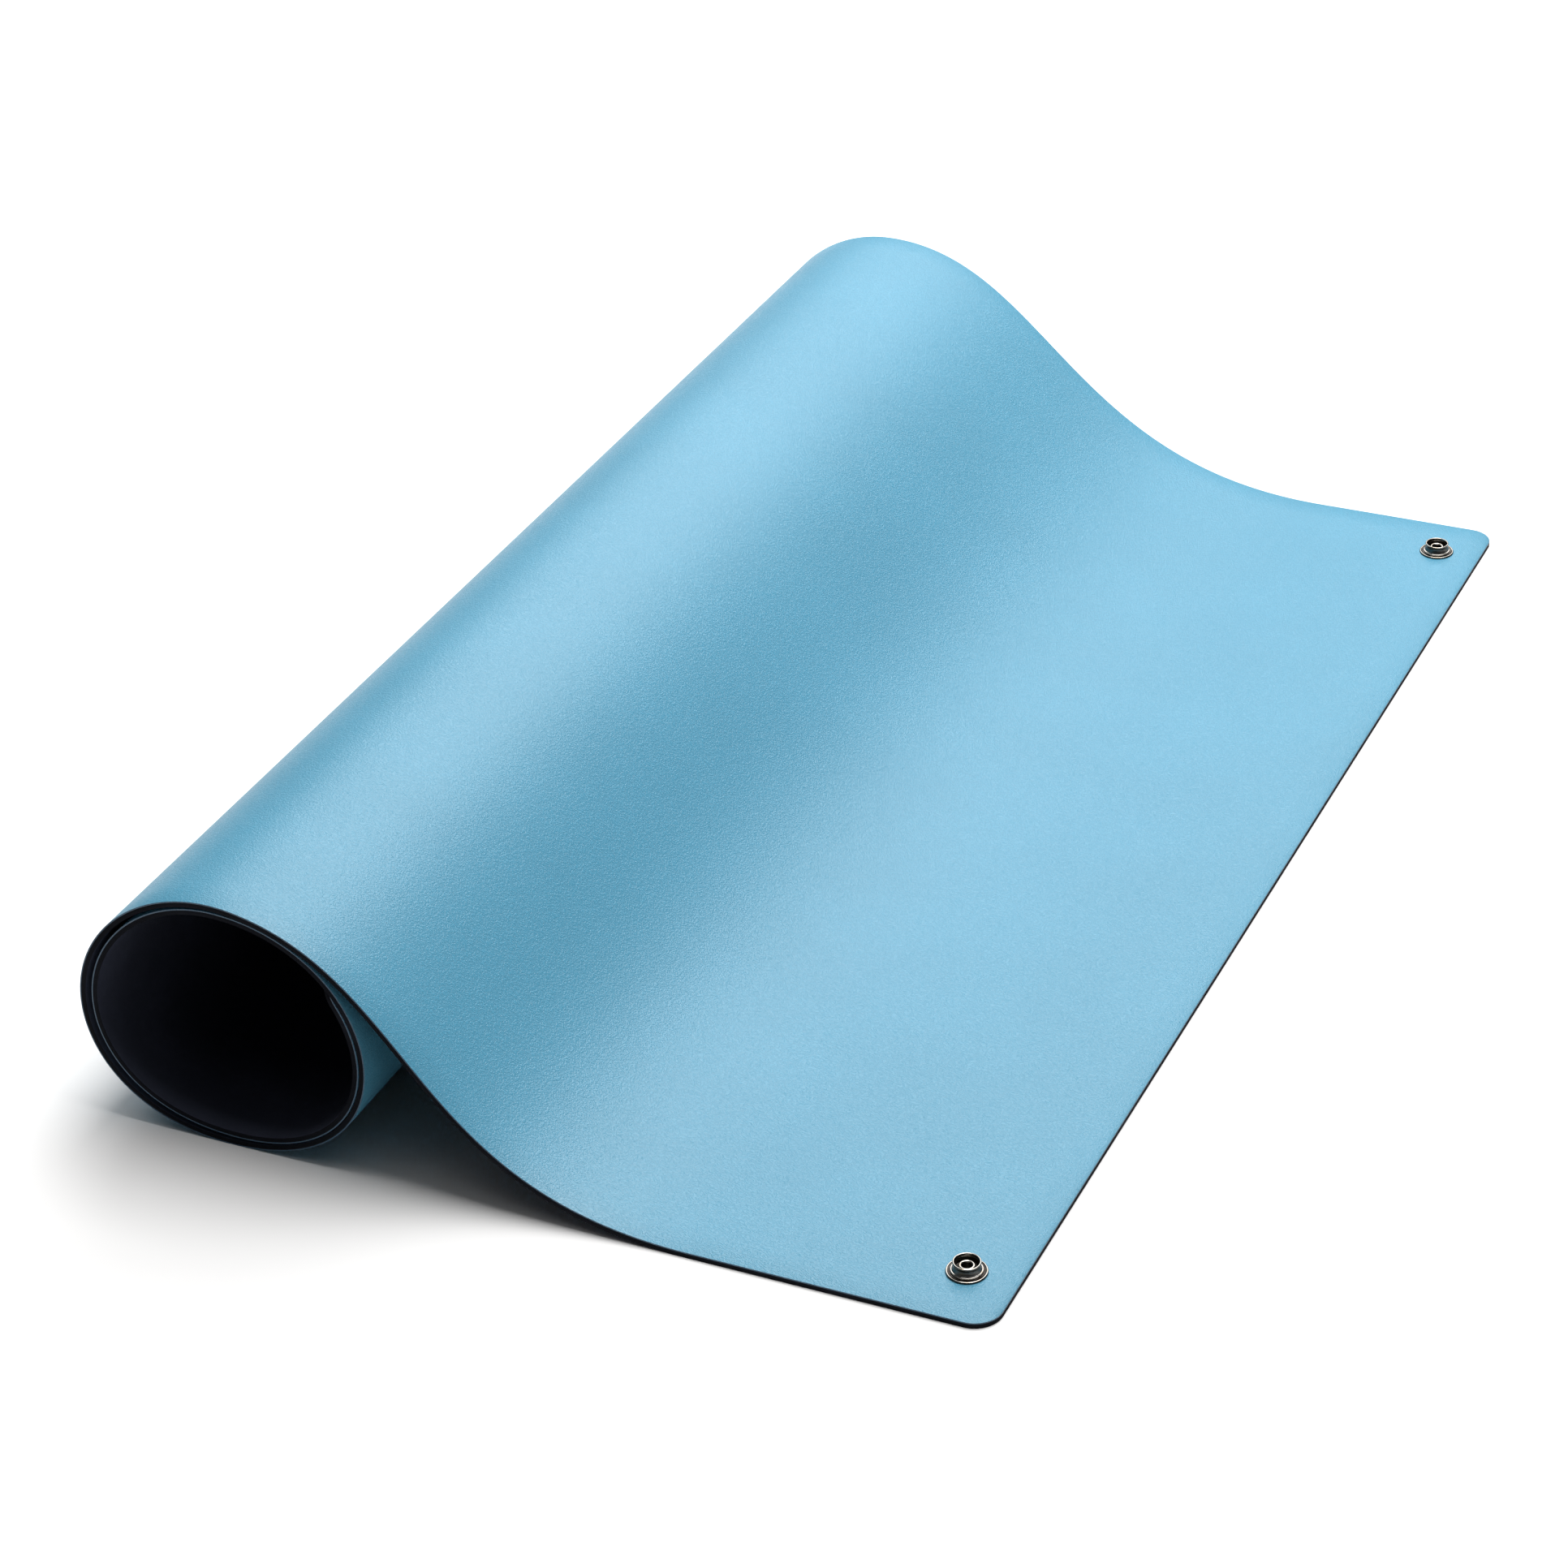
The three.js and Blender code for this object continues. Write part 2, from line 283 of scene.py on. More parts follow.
class EdgeLine:
    """Middle line of the sheet along one long edge, by the distance from its flat end."""

    BRIDGE_STEPS = 600
    ROLL_STEP = math.radians(0.25)
    TANGENT_STEP = math.radians(0.01)

    def __init__(self, lie, roll, sheet):
        half = (sheet.top_layer + sheet.base_layer) / 2
        lift = roll.point(lie.lift_off)
        before = roll.point(lie.lift_off - self.TANGENT_STEP)
        along = (before - roll.point(lie.lift_off + self.TANGENT_STEP)).normalized()
        self.points = [Vector((0.0, half))]
        self.places = [0.0]
        handles = (
            Vector((-lie.flat, half)),
            Vector((-lie.flat - lie.low_bend, half)),
            lift + along * lie.high_bend,
            lift,
        )
        for i in range(self.BRIDGE_STEPS + 1):
            self.add(self.bridge(handles, i / self.BRIDGE_STEPS))
        angle = lie.lift_off
        while self.places[-1] < sheet.long:
            angle += self.ROLL_STEP
            self.add(roll.point(angle))

    @staticmethod
    def bridge(handles, t):
        a, b, c, d = handles
        s = 1 - t
        return s**3 * a + 3 * s * s * t * b + 3 * s * t * t * c + t**3 * d

    def add(self, point):
        self.places.append(self.places[-1] + (point - self.points[-1]).length)
        self.points.append(point)

    def trace(self, places):
        """Point and upward normal at each of the places, which run upwards."""
        found = []
        k = 1
        for place in places:
            while k < len(self.places) - 1 and self.places[k] < place:
                k += 1
            run = self.places[k] - self.places[k - 1]
            share = (place - self.places[k - 1]) / run
            point = self.points[k - 1].lerp(self.points[k], share)
            low = self.points[max(k - 2, 0)]
            high = self.points[min(k + 1, len(self.points) - 1)]
            tangent = (high - low).normalized()
            found.append((point, Vector((tangent.y, -tangent.x))))
        return found


def corner_inset(distance, radius):
    """How far the cut corners draw the long edges in, at a distance from the nearer end."""
    reach = max(radius - distance, 0.0)
    return radius - math.sqrt(max(radius * radius - reach * reach, 0.0))


def places_along(sheet):
    """Distances from the flat end of every division, closer together at the cut corners."""
    corner_steps = 12
    corner = [
        sheet.corner * (1 - math.cos(TURN / 4 * i / corner_steps))
        for i in range(corner_steps + 1)
    ]
    inner = [sheet.long - distance for distance in reversed(corner)]
    middle = sheet.steps_along - 2 * corner_steps
    between = [
        corner[-1] + (inner[0] - corner[-1]) * i / middle for i in range(1, middle)
    ]
    return corner + between + inner


def lay_out_sheet(obj, above):
    """Moves a flat grid's points to where the lying sheet has them, above its middle."""
    mat = settings()
    sheet = mat.sheet
    roll = Roll(mat.roll, sheet)
    places = places_along(sheet)
    front = EdgeLine(mat.front, roll, sheet).trace(places)
    back = EdgeLine(mat.back, roll, sheet).trace(places)
    steps = len(places) - 1
    for vertex in obj.data.vertices:
        index = round((vertex.co.x / sheet.long) * steps)
        inset = corner_inset(min(places[index], sheet.long - places[index]), sheet.corner)
        share = (inset + vertex.co.y * (1 - 2 * inset / sheet.wide)) / sheet.wide
        point = front[index][0].lerp(back[index][0], share)
        normal = front[index][1].lerp(back[index][1], share).normalized()
        point = point + normal * above
        vertex.co = (FLAT_END + point.x, (share - 0.5) * sheet.wide, point.y)


# Modelling helpers


def deselect():
    if bpy.context.object and bpy.context.object.mode != "OBJECT":
        bpy.ops.object.mode_set(mode="OBJECT")
    bpy.ops.object.select_all(action="DESELECT")


def make_active(obj):
    deselect()
    obj.select_set(True)
    bpy.context.view_layer.objects.active = obj


def new_piece(name):
    """Names the primitive that was just added."""
    obj = bpy.context.object
    obj.name = name
    obj.data.name = name
    return obj


def apply_modifier(obj, kind, **values):
    make_active(obj)
    modifier = obj.modifiers.new(kind.title(), kind)
    for key, value in values.items():
        setattr(modifier, key, value)
    bpy.ops.object.modifier_apply(modifier=modifier.name)


def smooth_by_angle(obj, angle):
    make_active(obj)
    bpy.ops.object.shade_smooth_by_angle(angle=math.radians(angle))


def arc(radius, height, size, start, end, steps=8, recess=0.0):
    """Profile points on a round of the given size, with its middle at radius and height, each with
    the recess weight of dull film and painted shade.
    """
    points = []
    for i in range(steps + 1):
        a = math.radians(start + (end - start) * i / steps)
        points.append((radius + size * math.cos(a), height + size * math.sin(a), recess))
    return points


def turned_piece(name, profile, centre, sides):
    """Spins a closed profile of (radius, height, recess) points round the vertical at centre; the
    recess weights of dull film and painted shade go into an attribute.
    """
    deselect()
    bpy.ops.mesh.primitive_circle_add(vertices=len(profile), fill_type="NOTHING")
    obj = new_piece(name)
    # Each point's recess weight, of dull film and painted shade, is kept for the nickel material.
    recesses = obj.data.attributes.new("recess", "FLOAT", "POINT")
    for i, (radius, height, recess) in enumerate(profile):
        obj.data.vertices[i].co = Vector(centre) + Vector((radius, 0.0, height))
        recesses.data[i].value = recess
    make_active(obj)
    bpy.ops.object.mode_set(mode="EDIT")
    bpy.ops.mesh.select_all(action="SELECT")
    bpy.ops.mesh.spin(steps=sides, angle=TURN, center=centre, axis=(0, 0, 1))
    bpy.ops.mesh.select_all(action="SELECT")
    bpy.ops.mesh.remove_doubles(threshold=WELD_DISTANCE)
    bpy.ops.mesh.delete_loose()
    bpy.ops.mesh.select_all(action="SELECT")
    bpy.ops.mesh.normals_make_consistent(inside=False)
    bpy.ops.object.mode_set(mode="OBJECT")
    return obj


def finish_piece(obj, material, slot, *nodes):
    """Gives a piece its finish, hangs it from the root body, and hides the CAD nodes that it stands
    for.
    """
    obj.data.materials.clear()
    obj.data.materials.append(material)
    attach(obj, "root")
    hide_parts(*nodes)


# Materials


class Tree:
    """Short names for making and joining shader nodes."""

    def __init__(self, tree):
        self.tree = tree

    def add(self, kind, **values):
        node = self.tree.nodes.new(kind)
        for key, value in values.items():
            setattr(node, key, value)
        return node

    def link(self, source, target):
        self.tree.links.new(source, target)

    def value(self, socket, value):
        """Joins a socket to another, or sets a plain value on it."""
        if isinstance(value, bpy.types.NodeSocket):
            self.link(value, socket)
        else:
            socket.default_value = value

    def maths(self, operation, first, second=0.0):
        node = self.add("ShaderNodeMath", operation=operation)
        self.value(node.inputs[0], first)
        self.value(node.inputs[1], second)
        return node.outputs[0]

    def ramp(self, factor, low, high, to_low=0.0, to_high=1.0):
        node = self.add("ShaderNodeMapRange", interpolation_type="SMOOTHSTEP")
        self.value(node.inputs["Value"], factor)
        node.inputs["From Min"].default_value = low
        node.inputs["From Max"].default_value = high
        node.inputs["To Min"].default_value = to_low
        node.inputs["To Max"].default_value = to_high
        return node.outputs["Result"]

    def noise(self, vector, scale, detail, distortion=0.0):
        node = self.add("ShaderNodeTexNoise")
        self.link(vector, node.inputs["Vector"])
        self.value(node.inputs["Scale"], scale)
        node.inputs["Detail"].default_value = detail
        node.inputs["Distortion"].default_value = distortion
        return node.outputs["Fac"]

    def mix(self, factor, first, second, blend="MIX"):
        node = self.add("ShaderNodeMix", data_type="RGBA", blend_type=blend)
        self.value(node.inputs[0], factor)
        self.value(node.inputs[6], first)
        self.value(node.inputs[7], second)
        return node.outputs[2]

    def relief(self, height, distance, strength, shader):
        """Bumps a material's surface by a height."""
        node = self.add("ShaderNodeBump")
        node.inputs["Strength"].default_value = strength
        node.inputs["Distance"].default_value = distance
        self.link(height, node.inputs["Height"])
        self.link(node.outputs[0], shader.inputs["Normal"])


def rgba(values):
    return (*values, 1.0)


def new_material(name):
    material = bpy.data.materials.new(name)
    material.use_nodes = True
    tree = Tree(material.node_tree)
    shader = material.node_tree.nodes["Principled BSDF"]
    return material, tree, shader


def group_named(name, make):
    return bpy.data.node_groups.get(name) or make()


def new_group(name, place, numbers, results):
    """Starts a node group that takes a place and some numbers, and gives some numbers."""
    group = bpy.data.node_groups.new(name, "ShaderNodeTree")
    sockets = group.interface
    sockets.new_socket(place, in_out="INPUT", socket_type="NodeSocketVector")
    for number in numbers:
        sockets.new_socket(number, in_out="INPUT", socket_type="NodeSocketFloat")
    for result in results:
        sockets.new_socket(result, in_out="OUTPUT", socket_type="NodeSocketFloat")
    tree = Tree(group)
    source = tree.add("NodeGroupInput").outputs
    target = tree.add("NodeGroupOutput").inputs
    return group, tree, source, target


def leather_grain_group():
    """Leather grain moulded into a face: soft pads parted by short winding creases."""
    group, tree, source, target = new_group(
        "Leather grain", "Flat place", ["Creases per metre"], ["Height", "Creases"]
    )
    stretch = tree.add("ShaderNodeMapping")
    tree.link(source["Flat place"], stretch.inputs["Vector"])
    longer_along = 0.7
    waves_per_crease = 1.6
    pad_reach = 0.16
    crease_reach = 0.35
    fine_waves, fine_height = 3.0, 0.5
    stretch.inputs["Scale"].default_value = (longer_along, 1.0, 1.0)
    place = stretch.outputs[0]
    wave = tree.maths("MULTIPLY", source["Creases per metre"], waves_per_crease)
    winding = tree.noise(place, wave, detail=1.0, distortion=0.5)
    off_middle = tree.maths("ABSOLUTE", tree.maths("SUBTRACT", winding, 0.5))
    pads = tree.ramp(off_middle, 0.0, pad_reach)
    finer = tree.maths("MULTIPLY", wave, fine_waves)
    fine = tree.noise(place, finer, detail=1.0, distortion=0.5)
    height = tree.maths("ADD", pads, tree.maths("MULTIPLY", fine, fine_height))
    tree.link(height, target["Height"])
    tree.link(tree.ramp(pads, crease_reach, 0.0), target["Creases"])
    return group


def cut_edge_group():
    """Mask of a sheet's cut faces, which all lie on the very border of its UV map."""
    group, tree, source, target = new_group(
        "Cut edge", "Place on map", ["Length", "Width", "Border"], ["Cut"]
    )
    parts = tree.add("ShaderNodeSeparateXYZ")
    tree.link(source["Place on map"], parts.inputs[0])
    reaches = []
    for axis, size in (("X", "Length"), ("Y", "Width")):
        off_middle = tree.maths("ABSOLUTE", tree.maths("SUBTRACT", parts.outputs[axis], 0.5))
        reach = tree.maths("SUBTRACT", 0.5, off_middle)
        reaches.append(tree.maths("MULTIPLY", reach, source[size]))
    nearest = tree.maths("MINIMUM", *reaches)
    tree.link(tree.maths("LESS_THAN", nearest, source["Border"]), target["Cut"])
    return group


def cut_edge(tree, uv):
    """Places the cut edge's mask in a material, with the sheet's own sizes."""
    sheet = settings().sheet
    edge = tree.add("ShaderNodeGroup", node_tree=group_named("Cut edge", cut_edge_group))
    tree.link(uv, edge.inputs["Place on map"])
    edge.inputs["Length"].default_value = sheet.long
    edge.inputs["Width"].default_value = sheet.wide
    edge.inputs["Border"].default_value = sheet.edge_round / 2
    return edge.outputs["Cut"]


def dark_specks(tree, flat):
    """Mask of the few specks of carbon that show through the blue face."""
    speck_radius = 0.2 * MM
    cell = 30 * MM
    share_of_cells = 0.06
    cells = tree.add("ShaderNodeTexVoronoi", voronoi_dimensions="2D", feature="F1")
    tree.link(flat, cells.inputs["Vector"])
    cells.inputs["Scale"].default_value = 1 / cell
    spot = tree.maths("LESS_THAN", cells.outputs["Distance"], speck_radius / cell)
    chosen = tree.maths("LESS_THAN", cells.outputs["Color"], share_of_cells)
    return tree.maths("MULTIPLY", spot, chosen)


def blue_rubber_material():
    """Working face: soft sheen over a fine leather grain, with painted shade darkening its creases
    and its cut edges.
    """
    finish = settings().finish
    sheet = settings().sheet
    material, tree, shader = new_material("grained_blue_rubber")
    uv = tree.add("ShaderNodeUVMap", uv_map="UVMap")
    flat = tree.add("ShaderNodeMapping")
    tree.link(uv.outputs[0], flat.inputs["Vector"])
    flat.inputs["Scale"].default_value = (sheet.long, sheet.wide, 1.0)
    grain = group_named("Leather grain", leather_grain_group)
    leather = tree.add("ShaderNodeGroup", node_tree=grain)
    tree.link(flat.outputs[0], leather.inputs["Flat place"])
    leather.inputs["Creases per metre"].default_value = 1 / finish.grain_size
    clouds_per_metre = 14.0
    crease_shade_share, pale_share, crease_shade_strength = 0.86, 1.05, 0.6
    cloud = tree.noise(flat.outputs[0], clouds_per_metre, detail=3.0)
    # Painted shade: the face's blue is darkened in the grain's creases.
    crease_shade = tuple(channel * crease_shade_share for channel in finish.blue)
    pale = tuple(min(channel * pale_share, 1.0) for channel in finish.blue)
    base = tree.mix(tree.ramp(cloud, 0.35, 0.65), rgba(finish.blue), rgba(pale))
    crease = tree.maths("MULTIPLY", leather.outputs["Creases"], crease_shade_strength)
    grained = tree.mix(crease, base, rgba(crease_shade))
    face = tree.mix(dark_specks(tree, flat.outputs[0]), grained, rgba(finish.black))
    # Painted shade: the blue layer's cut edges are coloured dark navy.
    cut = cut_edge(tree, uv.outputs[0])
    tree.link(tree.mix(cut, face, rgba(finish.shaded_cut_blue)), shader.inputs["Base Color"])
    rough = tree.ramp(leather.outputs["Creases"], 0.0, 1.0, to_low=0.38, to_high=0.46)
    tree.link(rough, shader.inputs["Roughness"])
    shader.inputs["Specular IOR Level"].default_value = 0.56
    tree.relief(leather.outputs["Height"], finish.grain_depth, 1.0, shader)
    return material


def black_rubber_material():
    """Conductive base: matt black, with a fine tooth and a little bloom; the moulded faces are lifted
    to a pale blue-black as painted light, and the cut edges kept far darker as painted shade.
    """
    finish = settings().finish
    material, tree, shader = new_material("matt_black_rubber")
    place = tree.add("ShaderNodeTexCoord").outputs["Object"]
    teeth_per_metre, clouds_per_metre = 1600.0, 45.0
    tooth_depth = 0.02 * MM
    face_lift, cut_lift = 1.25, 1.8
    tooth = tree.noise(place, teeth_per_metre, detail=2.0)
    bloom = tree.ramp(tree.noise(place, clouds_per_metre, detail=4.0), 0.4, 0.75)
    shades = []
    # The moulded face is lifted as painted light and the cut edge darkened as painted shade; the
    # bloom varies both at random.
    for shade, lift in ((finish.black_face_painted_light, face_lift), (finish.black, cut_lift)):
        pale = tuple(channel * lift for channel in shade)
        shades.append(tree.mix(bloom, rgba(shade), rgba(pale)))
    uv = tree.add("ShaderNodeUVMap", uv_map="UVMap")
    cut = cut_edge(tree, uv.outputs[0])
    tree.link(tree.mix(cut, *shades), shader.inputs["Base Color"])
    rough = tree.ramp(tooth, 0.3, 0.7, to_low=0.7, to_high=0.88)
    tree.link(rough, shader.inputs["Roughness"])
    shader.inputs["Specular IOR Level"].default_value = 0.04
    tree.relief(tooth, tooth_depth, 1.0, shader)
    return material


def nickel_material():
    """Plate over pressed brass, with a dull brown film and painted shade darkening its recesses."""
    finish = settings().finish
    material, tree, shader = new_material("plated_nickel")
    place = tree.add("ShaderNodeTexCoord").outputs["Object"]
    patches_per_metre, marks_per_metre = 420.0, 3000.0
    mark_depth = 0.004 * MM
    brass_tint = (0.85, 0.74, 0.6)
    tarnish = tree.noise(place, patches_per_metre, detail=3.0)
    warm = tuple(channel * tint for channel, tint in zip(finish.nickel, brass_tint))
    plate = tree.mix(tree.ramp(tarnish, 0.5, 0.72), rgba(finish.nickel), rgba(warm))
    # The recess weights darken the plate with a dull film and painted shade.
    recess = tree.add("ShaderNodeAttribute", attribute_name="recess").outputs["Fac"]
    patches = tree.ramp(tarnish, 0.25, 0.6, to_low=0.75)
    film_and_shade_mask = tree.maths("MULTIPLY", recess, patches)
    tree.link(tree.mix(film_and_shade_mask, plate, rgba(finish.oxide_and_painted_shade)), shader.inputs["Base Color"])
    shader.inputs["Metallic"].default_value = 1.0
    rough = tree.ramp(recess, 0.0, 1.0, to_low=0.13, to_high=0.34)
    tree.link(rough, shader.inputs["Roughness"])
    marks = tree.noise(place, marks_per_metre, detail=1.0)
    tree.relief(marks, mark_depth, 0.5, shader)
    return material


def material_named(name, make):
    return bpy.data.materials.get(name) or make()


# Pieces


def stud_middles():
    """Where each stud's middle stands on the bench, by the name of its corner."""
    stud = settings().stud
    x = FLAT_END - stud.from_end
    y = settings().sheet.wide / 2 - stud.from_side
    return {"front": (x, -y, 0.0), "back": (x, y, 0.0)}


def cut_rivet_holes(obj):
    """Cuts each rivet's clearance hole, with the recess that its flush head lies in."""
    stud = settings().stud
    sheet = settings().sheet
    thickness = sheet.top_layer + sheet.base_layer
    hole = stud.shank + stud.clearance
    recess = stud.head + stud.clearance
    profile = [
        (0.0, -thickness, 0.0),
        (recess, -thickness, 0.0),
        (recess, stud.head_thick, 0.0),
        (hole, stud.head_thick, 0.0),
        (hole, 2 * thickness, 0.0),
        (0.0, 2 * thickness, 0.0),
    ]
    for corner, middle in stud_middles().items():
        cutter = turned_piece(f"{corner}_hole", profile, middle, stud.sides)
        apply_modifier(obj, "BOOLEAN", object=cutter, operation="DIFFERENCE", solver="EXACT")
        bpy.data.objects.remove(cutter)


def mat_layer(name, low_face, high_face):
    """One layer of the sheet: a flat grid, laid out, thickened and softened at its cut edges."""
    sheet = settings().sheet
    deselect()
    bpy.ops.mesh.primitive_grid_add(
        x_subdivisions=sheet.steps_along,
        y_subdivisions=sheet.steps_across,
        size=1.0,
        location=(0.5, 0.5, 0.0),
    )
    bpy.ops.object.transform_apply(location=True, rotation=True, scale=True)
    layer = new_piece(name)
    layer.data.transform(Matrix.Diagonal((sheet.long, sheet.wide, 1.0, 1.0)))
    lay_out_sheet(layer, (low_face + high_face) / 2)
    apply_modifier(
        layer,
        "SOLIDIFY",
        thickness=high_face - low_face,
        offset=0.0,
        use_even_offset=True,
        use_quality_normals=True,
    )
    make_active(layer)
    bpy.ops.object.mode_set(mode="EDIT")
    bpy.ops.mesh.select_all(action="SELECT")
    bpy.ops.mesh.normals_make_consistent(inside=False)
    bpy.ops.object.mode_set(mode="OBJECT")
    cut_rivet_holes(layer)
    apply_modifier(
        layer,
        "BEVEL",
        width=sheet.edge_round,
        segments=2,
        limit_method="ANGLE",
        angle_limit=math.radians(BEVELLED_PAST),
    )
    smooth_by_angle(layer, LAYER_SHARP_PAST)
    return layer


class BENCHMAT_OT_layers(bpy.types.Operator):
    """Lay out both bonded layers of the sheet"""

    bl_idname = "benchmat.layers"
    bl_label = "Mat Layers"

    def execute(self, context):
        sheet = settings().sheet
        half = (sheet.top_layer + sheet.base_layer) / 2
        face = half - sheet.top_layer
        top = mat_layer("blue_top_layer", face, half)
        blue = material_named("grained_blue_rubber", blue_rubber_material)
        finish_piece(top, blue, "blue_rubber", "mat_top_layer")
        base = mat_layer("black_base_layer", -half, face)
        black = material_named("matt_black_rubber", black_rubber_material)
        finish_piece(base, black, "black_rubber", "mat_base_layer")
        return {"FINISHED"}


def stud_profile(stud):
    """Pressed stud: grooved flange, stepped foot, waisted post and an open cup with a lip.

    The third number of each point is how much dull film and painted shade darken the metal there,
    from 0 to 1: film in the grooves and the cup, painted shade in the hollows, round the waist, under
    the lip and along the flange's lower rim.
    """
    bore = stud.shank + stud.clearance
    edge = stud.flange_thick / 2
    bead = stud.flange_thick - edge
    groove_floor = stud.flange_thick - stud.groove
    soft = stud.groove / 2
    waist_height = (stud.step_height + stud.height) / 2
    waist_round = stud.groove
    inner_wall = stud.lip - 2 * stud.lip_roll - stud.groove / 2
    lip_middle = stud.lip - stud.lip_roll
    lip_height = stud.height - stud.lip_roll
    return [
        (bore, 0.0, 1.0),
        (stud.flange - edge / 2, 0.0, 1.0),
        *arc(stud.flange - edge, edge, edge, -30, 25, 5, 0.9),
        *arc(stud.flange - edge, edge, bead, 35, 140, 10),
        (stud.flange - 2 * edge, groove_floor + soft / 2, 0.9),
        (stud.step + 2 * soft, groove_floor, 1.0),
        (stud.step, groove_floor + soft / 2, 1.0),
        (stud.step, stud.step_height - 2 * stud.groove, 0.8),
        *arc(stud.step - stud.groove, stud.step_height - stud.groove, stud.groove, 0, 90, 6),
        (stud.foot + soft, stud.step_height, 0.0),
        (stud.foot, stud.step_height + soft / 2, 0.9),
        (stud.foot - soft, stud.step_height + 2 * stud.groove, 0.7),
        (stud.waist, waist_height - waist_round, 0.75),
        (stud.waist, waist_height + waist_round, 0.9),
        *arc(lip_middle, lip_height, stud.lip_roll, -45, 0, 5, 0.7),
        *arc(lip_middle, lip_height, stud.lip_roll, 20, 160, 12),
        (inner_wall, lip_height - stud.lip_roll, 0.7),
        (inner_wall, waist_height, 0.5),
        *arc(
            stud.cup_floor_radius,
            stud.cup_floor + 2 * stud.groove,
            2 * stud.groove,
            0,
            -90,
            6,
            0.8,
        ),
        (bore, stud.cup_floor, 1.0),
    ]


class BENCHMAT_OT_studs(bpy.types.Operator):
    """Turn the snap stud of each flat corner"""

    bl_idname = "benchmat.studs"
    bl_label = "Snap Studs"

    def execute(self, context):
        stud = settings().stud
        sheet = settings().sheet
        face = Vector((0.0, 0.0, sheet.top_layer + sheet.base_layer))
        nickel = material_named("plated_nickel", nickel_material)
        for corner, middle in stud_middles().items():
            seat = Vector(middle) + face
            piece = turned_piece(f"{corner}_stud", stud_profile(stud), seat, stud.sides)
            smooth_by_angle(piece, METAL_SHARP_PAST)
            finish_piece(piece, nickel, "nickel", f"{corner}_snap_stud")
        return {"FINISHED"}


def rivet_profile(stud, thickness):
    """Semi-tubular rivet: a flush head, a shank, and a collar rolled over in the cup."""
    gap = stud.clearance / 4
    cup_floor = thickness + stud.cup_floor + gap
    collar_top = thickness + stud.height - stud.collar_drop
    roll = (stud.collar - stud.bore) / 2
    soft = stud.clearance
    # The third number of each point weights the dull film and painted shade, as in the stud.
    return [
        (0.0, 0.0, 0.0),
        (stud.head - soft, 0.0, 0.0),
        *arc(stud.head - soft, soft, soft, -90, 90, 6),
        (stud.shank, stud.head_thick, 0.5),
        (stud.shank, cup_floor, 1.0),
        (stud.collar, cup_floor, 1.0),
        *arc(stud.collar - roll, collar_top - roll, roll, 0, 180, 14),
        (stud.bore, collar_top - 2 * roll, 0.9),
        (stud.bore - gap, stud.rivet_floor + soft, 0.8),
        (stud.bore / 2, stud.rivet_floor, 0.3),
        (0.0, stud.rivet_floor, 0.1),
    ]


class BENCHMAT_OT_rivets(bpy.types.Operator):
    """Turn the rivet that clinches each stud through the mat"""

    bl_idname = "benchmat.rivets"
    bl_label = "Rivets"

    def execute(self, context):
        stud = settings().stud
        sheet = settings().sheet
        thickness = sheet.top_layer + sheet.base_layer
        nickel = material_named("plated_nickel", nickel_material)
        profile = rivet_profile(stud, thickness)
        for corner, middle in stud_middles().items():
            piece = turned_piece(f"{corner}_rivet", profile, middle, stud.sides)
            smooth_by_angle(piece, METAL_SHARP_PAST)
            finish_piece(piece, nickel, "nickel", f"{corner}_snap_rivet")
        return {"FINISHED"}


# Stage


def soft_light(name, place, aim, size, power):
    """Rectangular lamp at a place, turned to an aim, with its size in metres and power in watts."""
    light = bpy.data.lights.new(name, "AREA")
    light.shape = "RECTANGLE"
    light.size, light.size_y = size
    light.energy = power
    obj = bpy.data.objects.new(name, light)
    obj.location = place
    obj.rotation_euler = (Vector(aim) - Vector(place)).to_track_quat("-Z", "Y").to_euler()
    bpy.context.scene.collection.objects.link(obj)


def aim_camera(stage):
    """Camera at the photograph's place: turned left, tipped down, and rolled a little."""
    camera = bpy.data.cameras.new("camera")
    camera.sensor_fit = "HORIZONTAL"
    camera.sensor_width = 36.0
    camera.lens = stage.lens
    camera.clip_start = 0.05
    camera.clip_end = 50.0
    obj = bpy.data.objects.new("camera", camera)
    level = Vector((-math.sin(stage.left), math.cos(stage.left), 0.0))
    right = Vector((math.cos(stage.left), math.sin(stage.left), 0.0))
    up = Vector((0.0, 0.0, 1.0))
    ahead = level * math.cos(stage.down) - up * math.sin(stage.down)
    above = level * math.sin(stage.down) + up * math.cos(stage.down)
    side = right * math.cos(stage.roll) + above * math.sin(stage.roll)
    top = above * math.cos(stage.roll) - right * math.sin(stage.roll)
    turn = Matrix((side, top, -ahead)).transposed()
    obj.matrix_world = Matrix.Translation(Vector(stage.eye)) @ turn.to_4x4()
    bpy.context.scene.collection.objects.link(obj)
    bpy.context.scene.camera = obj


def light_world(stage):
    """Even, dim and pale surroundings."""
    world = bpy.data.worlds.new("studio")
    world.use_nodes = True
    background = world.node_tree.nodes["Background"]
    background.inputs["Color"].default_value = rgba((1.0, 1.0, 1.0))
    background.inputs["Strength"].default_value = stage.surroundings
    bpy.context.scene.world = world


